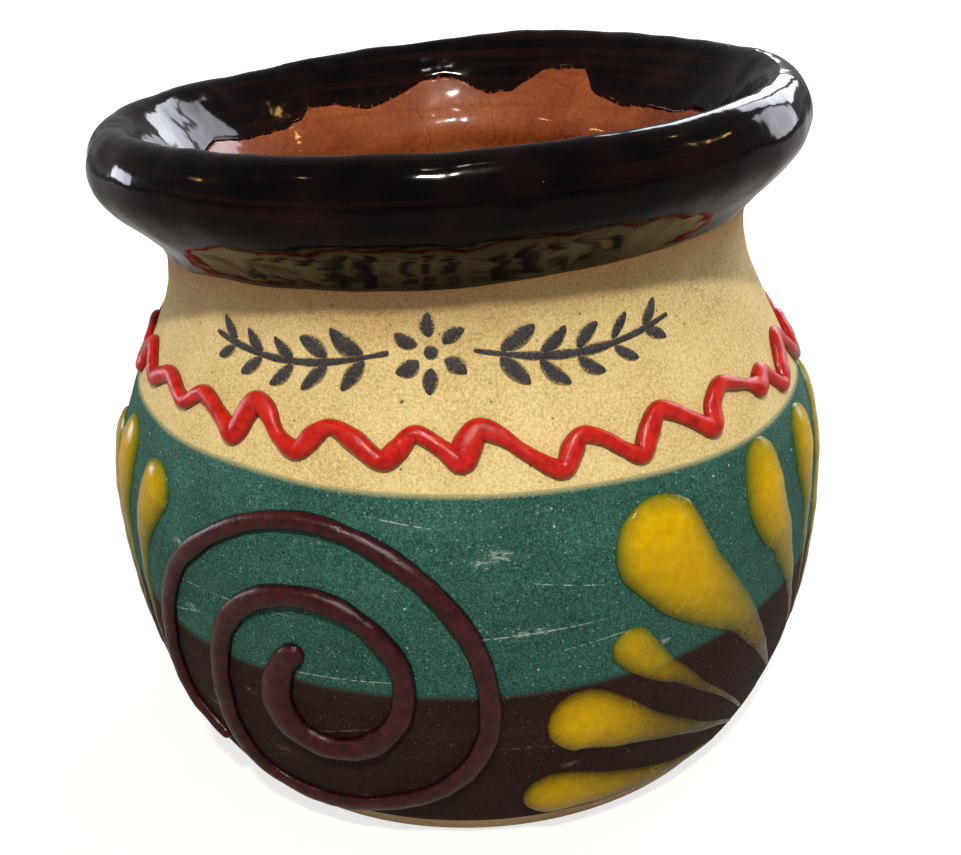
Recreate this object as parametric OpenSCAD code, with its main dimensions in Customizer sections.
// Jarrito mug: a thrown earthenware pot with a rolled rim and a pulled strap handle.
// Over the clay lie coats of cream, teal and brown slip, a dark glaze on the rim and the
// handle, and an amber glaze inside. Raised lines of slip are trailed on top: a zigzag, a
// spiral and two fans of petals. A painted sprig with a flower lies on the cream band.
// The origin is the centre of the underside. The painted front faces -Y, the handle +Y.

/* [Pot] */
// Radius of the underside
foot_r = 38.8; // [35:0.1:44]
// Rounding of the edge where the underside meets the wall
foot_edge = 1.2; // [0.4:0.1:3]
// Radius of the clay at the belly
belly_r = 48.2; // [46:0.1:58]
// Height of the belly's widest level
belly_z = 34; // [28:0.5:42]
// How far the neck lies inside the belly
neck_in = 10.5; // [7:0.1:14]
// Height of the neck above the belly's widest level
neck_rise = 36.5; // [34:0.5:48]
// How far the rolled rim stands out from the neck
lip_out = 7.8; // [5:0.1:10]
// Height of the rim's widest level above the neck
lip_rise = 12.2; // [10:0.1:18]
// Thickness of the rolled rim
lip_t = 6.6; // [5.6:0.1:8]
// Height of the rounded top of the rim above its widest level
lip_top = 5.2; // [3:0.1:7]
// Thickness of the wall
wall_t = 4.8; // [3.4:0.1:5.4]
// Thickness of the floor
floor_t = 6; // [4:0.1:9]
// Size of the curve between the floor and the wall, inside
floor_curve = 9; // [5:0.5:14]

/* [Coats] */
// Thickness of the cream slip, which covers the outside under the other coats
cream_t = 0.3; // [0.15:0.05:0.45]
// Thickness of the teal and the brown slip over the cream
band_t = 0.2; // [0.1:0.05:0.4]
// Thickness of the dark glaze on the rim and the handle
dark_glaze_t = 0.5; // [0.3:0.05:0.7]
// Thickness of the amber glaze inside
liner_t = 0.3; // [0.15:0.05:0.5]
// Height of the bare clay edge left at the foot
bare_foot = 3.7; // [2:0.1:6]
// How far the line between the brown and the teal slip lies below the belly's widest level
brown_drop = 5.2; // [-4:0.1:14]
// How far the teal slip reaches up the shoulder, as a share of the neck's height above the belly
teal_share = 0.507; // [0.42:0.001:0.53]
// How far the dark glaze's lower edge lies above the neck, outside
glaze_rise = 2; // [0.6:0.1:4]
// How far the dark glaze's lower edge lies below the rim's widest level, inside
glaze_drop = 2.2; // [0.7:0.1:5]

/* [Handle] */
// How far the middle of the strap stands out from the belly
handle_reach = 29; // [24:0.5:38]
// How far the lower end of the handle lies below the belly's widest level
handle_drop = 4.5; // [0:0.5:10]
// How far the strap rises where it stands out furthest, above the middle of its two ends
handle_lift = 9; // [4:0.5:12]
// Width of the strap at its upper end
strap_w = 16; // [12:0.5:18]
// Thickness of the strap at its upper end
strap_t = 8; // [6:0.5:8.5]
// Width of the strap at its lower end
strap_tail_w = 13; // [10:0.5:16]
// Thickness of the strap at its lower end
strap_tail_t = 6.6; // [5:0.2:8]
// Thickness of the luting pads that join the strap to the pot
pad_t = 3.2; // [2:0.1:4]
// Margin of a luting pad round the end of the strap
pad_margin = 1.4; // [1:0.1:2]

/* [Zigzag] */
// Gap between the teal slip and the lowest edge of the zigzag
zigzag_clear = 0.65; // [0.3:0.05:2]
// Height of the zigzag from its troughs to its peaks
zigzag_h = 3.8; // [2:0.1:4.6]
// Number of waves that would go once round the pot
zigzag_waves = 27; // [16:1:34]
// Width of the zigzag's line
zigzag_w = 2.3; // [1.4:0.1:2.8]
// How far the zigzag's line stands out
zigzag_raise = 1.1; // [0.5:0.1:1.8]
// Angle left free at each side of the handle
zigzag_gap = 14; // [8:1:30]

/* [Spiral] */
// Angle of the spiral's centre from the front, positive to the right
spiral_angle = -23.5; // [-30:0.5:-10]
// Radius at which the line starts
spiral_start = 4.4; // [3:0.1:5]
// Gap between the top of the spiral and the upper edge of the teal slip
spiral_top_clear = 2.7; // [1:0.1:8]
// Gap between the bottom of the spiral and the bare clay at the foot
spiral_foot_clear = 3.4; // [1:0.1:8]
// Number of turns
spiral_turns = 2.34; // [1:0.02:2.4]
// Width of the spiral's line
spiral_w = 2.5; // [1.6:0.1:3.4]
// Width of the hook at the spiral's inner end
hook_w = 3.4; // [2:0.1:4]
// How far the spiral's line stands out
spiral_raise = 1.2; // [0.5:0.1:1.8]

/* [Petals] */
// Gap along the belly between the spiral and the longest petals of the right fan
right_fan_clear = 6.2; // [3:0.1:12]
// Gap along the belly between the spiral and the root of the left fan
left_fan_clear = 9.1; // [8.6:0.1:14]
// Height of the root of the fans above the bare clay at the foot
fan_rise = 5.8; // [5.4:0.1:9]
// Gap between the highest petal and the upper edge of the teal slip
petal_clear = 0.4; // [0.3:0.1:8]
// Width of the widest petal's head
petal_w = 12.2; // [7:0.1:12.8]
// Width of a petal at the tip of its tail
petal_tip_w = 0.9; // [0.5:0.1:1.4]
// How far the widest petal stands out at its head
petal_raise = 1.4; // [0.6:0.1:2]

/* [Sprig] */
// Angle of the middle of the sprig from the front
sprig_angle = -5; // [-20:1:20]
// Length of a painted branch
branch_l = 24; // [14:0.5:30]
// How far a branch dips between its ends
branch_dip = 1.6; // [0:0.1:2.4]
// Width of a painted stem
stem_w = 0.8; // [0.5:0.1:1.4]
// Length of the longest leaf
leaf_l = 4.6; // [2.5:0.1:5]
// Width of the longest leaf
leaf_w = 1.9; // [1:0.1:2.4]
// Length of a petal of the painted flower
flower_petal_l = 2.9; // [2:0.1:3.2]
// Width of the painted flower's middle
flower_eye_w = 1.7; // [1:0.1:2]
// Thickness of the paint
paint_t = 0.2; // [0.1:0.05:0.4]

/* [Hidden] */
neck_z = belly_z + neck_rise;
lip_z = neck_z + lip_rise;
neck_r = belly_r - neck_in;
lip_r = neck_r + lip_out;
coats_t = cream_t + band_t;
brown_top = belly_z - brown_drop;
teal_top = belly_z + teal_share * neck_rise;
glaze_edge_z = neck_z + glaze_rise;
inner_edge_z = lip_z - glaze_drop;
handle_low_z = belly_z - handle_drop;

// How round the wall is below the belly, above it, and under the rim
foot_power = 2.6;
shoulder_power = 1.3;
flare_power = 1.1;
// Steps of the outline over the full height, over the rolled rim and along a small curve
outline_steps = 56;
roll_steps = 14;
curve_steps = 6;
// Sides round the pot and round the ends of a luting pad
pot_sides = 96;
pad_sides = 48;
// The slope of the wall is measured over this share of the height
probe_share = 0.0002;
// How far a cut runs past what it cuts
overrun = 2;

// Steps along the strap and round it, and how square its bend is
strap_steps = 24;
strap_sides = 12;
strap_power = 0.85;

// Steps of the zigzag in a wave, and of the spiral in a turn
wave_steps = 6;
turn_steps = 30;
// Faces across the rounded top of the zigzag's and of the spiral's line
zigzag_sides = 4;
spiral_sides = 5;
// The zigzag stands over the teal slip, and the sprig between the zigzag and the dark glaze
zigzag_z = teal_top + zigzag_clear + (zigzag_h + zigzag_w) / 2;
sprig_z = (zigzag_z + (zigzag_h + zigzag_w) / 2 + glaze_edge_z) / 2;
// Direction of the spiral's inner end from its centre, anticlockwise from the right
spiral_from = 85;

// Turns after which the spiral passes a direction from its centre for the last time
function last_pass(direction) =
    let (first = (direction - spiral_from) / 360)
    first + floor(spiral_turns - first);

// The spiral fills the height from the bare clay to the cream slip, less its gaps
spiral_room = teal_top - spiral_top_clear - bare_foot - spiral_foot_clear - spiral_w;
spiral_pitch = (spiral_room - 2 * spiral_start) / (last_pass(90) + last_pass(270));
spiral_z = teal_top - spiral_top_clear - spiral_w / 2 - spiral_start - spiral_pitch * last_pass(90);

// How far the spiral reaches in a direction from its centre
function spiral_reach(direction) = spiral_start + spiral_pitch * last_pass(direction) + spiral_w / 2;
// Size of a trailed line at its two ends, as a share of its full width
line_end_share = 0.4;

// Directions of the petals from the root of their fan, anticlockwise from the right
right_petal_angles = [4, 22, 40, 60, 85, 102, 127, 143, 162, 180];
left_petal_angles = [76, 93, 110, 128, 146, 163, 180];
// Lengths and head widths of those petals, as shares of the largest
right_length_share = [0.92, 0.85, 0.88, 0.95, 0.84, 0.88, 1, 0.84, 0.89, 0.91];
right_width_share = [0.66, 0.7, 0.52, 0.78, 0.65, 0.74, 1, 0.45, 0.78, 0.82];
left_length_share = [0.84, 0.91, 0.88, 0.96, 0.84, 0.9, 0.94];
left_width_share = [0.61, 0.69, 0.66, 0.82, 0.48, 0.66, 0.6];
// Greatest height of a fan above its root, as a share of the longest petal's length
function top_share(angles, shares) = max([for (i = [0:len(angles) - 1]) shares[i] * sin(angles[i])]);

// Length from the root of a fan to the end of its longest petal, which the highest one sets
fan_z = bare_foot + fan_rise;
right_top_share = top_share(right_petal_angles, right_length_share);
left_top_share = top_share(left_petal_angles, left_length_share);
petal_l = (teal_top - petal_clear - fan_z) / max(right_top_share, left_top_share);
// Reach of the right fan towards the spiral, and the angles of both roots from the front
right_reach = petal_l * right_length_share[len(right_length_share) - 1];
right_fan_angle = spiral_angle + (spiral_reach(0) + right_fan_clear + right_reach) / belly_r * 180 / PI;
left_fan_angle = spiral_angle - (spiral_reach(180) + left_fan_clear) / belly_r * 180 / PI;
// Where the tail of a petal starts, as a share of the petal's own length
tail_start_share = 0.27;
// How slowly the tail widens, and the steps along a petal's tail and its head
tail_power = 1.5;
tail_steps = 5;
head_steps = 4;
// Faces across the rounded top of a petal, and steps of its base between the two edges
petal_sides = 6;
petal_base_steps = 4;

// Places of the leaves along a branch, and widths along a painted stroke, as shares
leaf_place_share = [0.12, 0.3, 0.48, 0.66, 0.84];
stroke_share = [0.25, 0.85, 1, 0.7, 0.2];
// The last leaf of a branch is shorter than the first by this share
leaf_loss_share = 0.35;
// Angle between a leaf and its branch
leaf_angle = 40;
// Steps along a stem, faces across a painted stroke, and petals of the painted flower
branch_steps = 8;
paint_sides = 3;
flower_petals = 6;

right_names = [for (i = [1:len(right_petal_angles)]) str("right_petal_", i)];
left_names = [for (i = [1:len(left_petal_angles)]) str("left_petal_", i)];

// Falls smoothly from 1 to 0 as t goes from 0 to 1
function fade(t) = (1 + cos(180 * t)) / 2;

function reversed(list) = [for (i = [len(list) - 1:-1:0]) list[i]];

function skip_first(list) = [for (i = [1:len(list) - 1]) list[i]];

// Point on the curve that leaves a towards b and comes to c from b
function bend(a, b, c, t) = (1 - t) * (1 - t) * a + 2 * t * (1 - t) * b + t * t * c;

// Radius of the clay outside, at a height
function clay_r(z) =
    z <= belly_z ? belly_r - (belly_r - foot_r) * pow((belly_z - z) / belly_z, foot_power)
    : z <= neck_z ? neck_r + (belly_r - neck_r) * fade(pow((z - belly_z) / neck_rise, shoulder_power))
    : lip_r - (lip_r - neck_r) * fade(pow(min(1, (z - neck_z) / lip_rise), flare_power));

// Growth of the clay's radius with height
function clay_slope(z) =
    let (probe = probe_share * lip_z)
    (clay_r(z + probe) - clay_r(z - probe)) / (2 * probe);

// Length of the slanting wall for one unit of height
function slant(z) = norm([clay_slope(z), 1]);

// Thickness of the wall, which grows to that of the rim above the neck
function wall_at(z) = lip_t + (wall_t - lip_t) * fade(max(0, min(1, (z - neck_z) / lip_rise)));

// Point of the outline, as radius and height, that lies a distance out from the clay
function outside(z, out) = [clay_r(z) + out / slant(z), z - out * clay_slope(z) / slant(z)];

// Point of the outline inside the pot, at a height and a distance in from the clay
function inside(z, in) = [clay_r(z) - (wall_at(z) + in) * slant(z), z];

// Heights from one level to another, evenly spaced
function levels(z0, z1) =
    let (n = max(2, ceil(outline_steps * abs(z1 - z0) / lip_z)))
    [for (i = [0:n]) z0 + (z1 - z0) * i / n];

// The rolled rim from its outer side over its top to its inner side, a distance out from the clay
function roll(out) = [
    for (i = [0:roll_steps])
        [
            lip_r - lip_t / 2 + (lip_t / 2 + out) * cos(180 * i / roll_steps),
            lip_z + (lip_top + out) * sin(180 * i / roll_steps)
        ]
];

// The inside from a level down to the middle of the floor, a distance in from the clay
function cavity(z, in) =
    let (
        curve_z = floor_t + floor_curve,
        a = inside(curve_z, in),
        b = [a[0] - (floor_curve - in) * clay_slope(curve_z), floor_t + in],
        c = [b[0] - floor_curve, floor_t + in]
    )
    concat(
        [for (h = levels(z, curve_z)) inside(h, in)],
        [for (i = [1:curve_steps]) bend(a, b, c, i / curve_steps)],
        [[0, floor_t + in]]
    );

// Point in space at a place (angle from the front, and height) and a distance out from the clay
function on_pot(place, out) =
    let (p = outside(place[1], out))
    [p[0] * sin(place[0]), -p[0] * cos(place[0]), p[1]];

// Place that lies a distance to the right of another place and a height above it
function beside(place, right, up) = [
    place[0] + right / clay_r(place[1]) * 180 / PI,
    place[1] + up
];

// Place that lies along a direction from another place
function away(place, angle, distance) = beside(place, distance * cos(angle), distance * sin(angle));

// Direction of a line of places at its step i, as right and up the wall, of length 1
function heading(path, i) =
    let (
        a = path[max(i - 1, 0)],
        b = path[min(i + 1, len(path) - 1)],
        right = (b[0] - a[0]) * clay_r(a[1]) * PI / 180,
        up = (b[1] - a[1]) * slant(a[1])
    )
    [right, up] / norm([right, up]);

// Ring across a raised line: an arch over the wall, and points along its base
function arch(path, sizes, i, base, sides, base_steps) =
    let (
        d = heading(path, i),
        half = sizes[i][0] / 2,
        high = sizes[i][1],
        across = [for (j = [0:sides]) cos(180 * j / sides)],
        under = [for (j = [1:1:base_steps - 1]) 2 * j / base_steps - 1]
    )
    [
        for (j = [0:sides + len(under)])
            let (
                u = half * (j <= sides ? across[j] : under[j - sides - 1]),
                rise = j <= sides ? high * sin(180 * j / sides) : 0
            )
            on_pot(beside(path[i], u * d[1], -u * d[0] / slant(path[i][1])), base + rise)
    ];

// Triangles between rings of n points, ring after ring
function skin(count, n, start = 0) = [
    for (i = [0:count - 2], j = [0:n - 1])
        let (a = start + i * n + j, b = start + i * n + (j + 1) % n)
        each [[a, b, a + n], [b, b + n, a + n]]
];

// A solid through a list of rings, closed at both ends
module loft(rings) {
    n = len(rings[0]);
    last = (len(rings) - 1) * n;
    first_cap = [for (j = [1:n - 2]) [0, j + 1, j]];
    last_cap = [for (j = [1:n - 2]) [last, last + j, last + j + 1]];
    polyhedron([for (ring = rings) each ring], concat(skin(len(rings), n), first_cap, last_cap));
}

// A raised line on the wall along a list of places, with a width and a rise at each
module trail(path, sizes, base, sides, base_steps = 1) {
    loft([for (i = [0:len(path) - 1]) arch(path, sizes, i, base, sides, base_steps)]);
}

// A painted stroke from a place in a direction
module stroke(place, angle, l, w) {
    last = len(stroke_share) - 1;
    path = [for (i = [0:last]) away(place, angle, l * i / last)];
    trail(path, [for (share = stroke_share) [w * share, paint_t * share]], cream_t, paint_sides);
}

// Turns an outline of radii and heights round the pot's axis
module turned(outline) {
    rotate_extrude($fn = pot_sides)
        polygon(outline);
}

module clay_pot() {
    edge_w = clay_r(foot_edge) - foot_r + foot_edge;
    edge = [
        for (i = [0:curve_steps])
            let (a = 90 * i / curve_steps)
            [foot_r - foot_edge + edge_w * sin(a), foot_edge * (1 - cos(a))]
    ];
    wall = [for (z = levels(foot_edge, lip_z)) outside(z, 0)];
    color("#b07a52")
        turned(concat([[0, 0]], edge, skip_first(wall), skip_first(roll(0)), skip_first(cavity(lip_z, 0))));
}

// The pot's outer form as one full solid, which pieces that sit on the clay are cut to
module clay_block() {
    turned(concat([[0, 0]], [for (z = levels(0, lip_z)) outside(z, 0)], [[0, lip_z]]));
}

// The pads are as wide and as high as the ends of the strap with their glaze, and a margin
function pad_size(w, t) = [w, t] + [1, 1] * 2 * (dark_glaze_t + pad_margin);
upper_pad = pad_size(strap_w, strap_t);
lower_pad = pad_size(strap_tail_w, strap_tail_t);
upper_face = neck_r + pad_t;
lower_face = clay_r(handle_low_z) + pad_t;

// A bar with round sides that runs back from the pot's axis
module pad_bar(z, size, far) {
    side = (size[0] - size[1]) / 2;
    translate([0, 0, z])
        rotate([-90, 0, 0])
            linear_extrude(far) {
                square([2 * side, size[1]], center = true);
                for (x = [-side, side])
                    translate([x, 0])
                        circle(d = size[1], $fn = pad_sides);
            }
}

module upper_luting_pad() {
    color("#241a18")
        difference() {
            pad_bar(neck_z, upper_pad, upper_face);
            clay_block();
        }
}

module lower_luting_pad() {
    color("#241a18")
        difference() {
            pad_bar(handle_low_z, lower_pad, lower_face);
            clay_block();
        }
}

// A coat on the outside between two heights and two distances from the clay, open at the pads
module coat(z0, z1, inner, outer) {
    difference() {
        turned(concat(
            [for (z = levels(z0, z1)) outside(z, outer)],
            [for (z = levels(z1, z0)) outside(z, inner)]
        ));
        pad_bar(neck_z, upper_pad, upper_face + overrun);
        pad_bar(handle_low_z, lower_pad, lower_face + overrun);
    }
}

module cream_slip() {
    color("#d9c08e")
        coat(bare_foot, glaze_edge_z, 0, cream_t);
}

module teal_slip() {
    color("#2c6a62")
        coat(brown_top, teal_top, cream_t, coats_t);
}

module brown_slip() {
    color("#3b2a26")
        coat(bare_foot, brown_top, cream_t, coats_t);
}

module rim_glaze() {
    outer = concat(
        [for (z = levels(glaze_edge_z, lip_z)) outside(z, dark_glaze_t)],
        skip_first(roll(dark_glaze_t)),
        skip_first([for (z = levels(lip_z, inner_edge_z)) inside(z, dark_glaze_t)])
    );
    inner = concat(
        [for (z = levels(glaze_edge_z, lip_z)) outside(z, 0)],
        skip_first(roll(0)),
        skip_first([for (z = levels(lip_z, inner_edge_z)) inside(z, 0)])
    );
    color("#1b1210")
        difference() {
            turned(concat(outer, reversed(inner)));
            pad_bar(neck_z, upper_pad, upper_face);
        }
}

module liner_glaze() {
    color("#9a4a24")
        turned(concat(cavity(inner_edge_z, liner_t), reversed(cavity(inner_edge_z, 0))));
}

// Middle of the strap as distance behind the axis and height, at angles from 90 down to -90
handle_out = belly_r + handle_reach;
function strap_middle(a) =
    let (low = (1 - sin(a)) / 2, face = upper_face + (lower_face - upper_face) * low)
    [
        face + (handle_out - (upper_face + lower_face) / 2) * pow(max(0, cos(a)), strap_power),
        neck_z + (handle_low_z - neck_z) * low + handle_lift * cos(a)
    ];

// Ring round the strap at step i, a distance out from its clay; the end rings stand upright
function strap_ring(i, out) =
    let (
        t = i / strap_steps,
        middle = strap_middle(90 - 180 * t),
        before = strap_middle(90 - 180 * max(0, t - probe_share)),
        after = strap_middle(90 - 180 * min(1, t + probe_share)),
        d = i == 0 ? [1, 0] : i == strap_steps ? [-1, 0] : (after - before) / norm(after - before),
        w = (strap_w + (strap_tail_w - strap_w) * t) / 2 + out,
        h = (strap_t + (strap_tail_t - strap_t) * t) / 2 + out
    )
    [
        for (j = [0:strap_sides - 1])
            let (a = 360 * j / strap_sides)
            [w * cos(a), middle[0] - h * sin(a) * d[1], middle[1] + h * sin(a) * d[0]]
    ];

module strap_handle() {
    color("#b07a52")
        loft([for (i = [0:strap_steps]) strap_ring(i, 0)]);
}

// The glaze round the strap, a tube from one pad to the other
module handle_glaze() {
    n = strap_sides;
    rings = strap_steps + 1;
    start = rings * n;
    outer = [for (i = [0:strap_steps]) each strap_ring(i, dark_glaze_t)];
    inner = [for (i = [0:strap_steps]) each strap_ring(i, 0)];
    first_end = [
        for (j = [0:n - 1])
            let (a = j, b = (j + 1) % n)
            each [[b, a, start + a], [b, start + a, start + b]]
    ];
    last_end = [
        for (j = [0:n - 1])
            let (a = start - n + j, b = start - n + (j + 1) % n)
            each [[a, b, start + a], [b, start + b, start + a]]
    ];
    inward = [for (face = skin(rings, n, start)) reversed(face)];
    color("#1b1210")
        polyhedron(concat(outer, inner), concat(skin(rings, n), inward, first_end, last_end));
}

// Share of its full size that a trailed line has at a step, smaller at its two ends
function end_share(i, last) = i == 0 || i == last ? line_end_share : 1;

module zigzag_trail() {
    half_turn = 180 - zigzag_gap;
    last = ceil(zigzag_waves * wave_steps * half_turn / 180);
    path = [
        for (i = [0:last])
            let (angle = half_turn * (2 * i / last - 1))
            [angle, zigzag_z + zigzag_h / 2 * sin(zigzag_waves * angle)]
    ];
    sizes = [for (i = [0:last]) [zigzag_w, zigzag_raise] * end_share(i, last)];
    color("#b3201c")
        trail(path, sizes, cream_t, zigzag_sides);
}

module spiral_trail() {
    last = ceil(spiral_turns * turn_steps);
    path = [
        for (i = [0:last])
            let (turn = spiral_turns * i / last)
            away([spiral_angle, spiral_z], spiral_from + 360 * turn, spiral_start + spiral_pitch * turn)
    ];
    sizes = [
        for (i = [0:last])
            let (hook = fade(min(1, 2 * i / turn_steps)))
            [spiral_w + (hook_w - spiral_w) * hook, spiral_raise] * end_share(i, last)
    ];
    color("#4a1a22")
        trail(path, sizes, coats_t, spiral_sides);
}

// A petal that widens along its tail to a round head
module petal(fan_angle, angle, length_share, width_share) {
    w = petal_w * width_share;
    start = petal_l * length_share * tail_start_share;
    tail = petal_l * length_share - start - w / 2;
    // Distances along the petal, and widths there as shares of the head's width
    steps = concat(
        [for (i = [0:tail_steps - 1]) [tail * i / tail_steps, pow(sin(90 * i / tail_steps), tail_power)]],
        [for (i = [0:head_steps]) [tail + w / 2 * sin(90 * i / head_steps), cos(90 * i / head_steps)]]
    );
    path = [for (step = steps) away([fan_angle, fan_z], angle, start + step[0])];
    sizes = [for (step = steps) [1, petal_raise / petal_w] * (petal_tip_w + (w - petal_tip_w) * step[1])];
    color("#d8b326")
        trail(path, sizes, coats_t, petal_sides, petal_base_steps);
}

sprig = [sprig_angle, sprig_z];
branch_start = flower_eye_w + flower_petal_l;

// Place along a branch of the sprig, side 1 to the right and -1 to the left
function on_branch(side, t) =
    beside(sprig, side * (branch_start + branch_l * t), -branch_dip * sin(180 * t));

function branch_angle(side, t) =
    let (dip = atan(-branch_dip * PI * cos(180 * t) / branch_l))
    side > 0 ? dip : 180 - dip;

module sprig_stems() {
    color("#3a3836")
        for (side = [-1, 1])
            trail(
                [for (i = [0:branch_steps]) on_branch(side, i / branch_steps)],
                [for (i = [0:branch_steps]) [stem_w, paint_t] * end_share(i, branch_steps)],
                cream_t,
                paint_sides
            );
}

// Pairs of leaves that leave the stem at its edge, smaller towards the tip of the branch
module sprig_leaves() {
    color("#3a3836")
        for (side = [-1, 1], t = leaf_place_share, lean = [-1, 1])
            let (
                size = 1 - leaf_loss_share * t,
                angle = branch_angle(side, t) + lean * leaf_angle,
                foot = away(on_branch(side, t), branch_angle(side, t) + lean * 90, stem_w / 2)
            )
            stroke(foot, angle, leaf_l * size, leaf_w * size);
}

module painted_flower() {
    color("#3a3836") {
        for (i = [0:flower_petals - 1])
            let (angle = 90 + 360 * i / flower_petals)
            stroke(away(sprig, angle, flower_eye_w), angle, flower_petal_l, leaf_w);
        stroke(away(sprig, 180, flower_eye_w / 2), 0, flower_eye_w, flower_eye_w);
    }
}

clay_pot();
strap_handle();
upper_luting_pad();
lower_luting_pad();
cream_slip();
teal_slip();
brown_slip();
rim_glaze();
liner_glaze();
handle_glaze();
zigzag_trail();
spiral_trail();
sprig_stems();
sprig_leaves();
painted_flower();
for (i = [0:len(right_names) - 1])
    petal(right_fan_angle, right_petal_angles[i], right_length_share[i], right_width_share[i]);
for (i = [0:len(left_names) - 1])
    petal(left_fan_angle, left_petal_angles[i], left_length_share[i], left_width_share[i]);
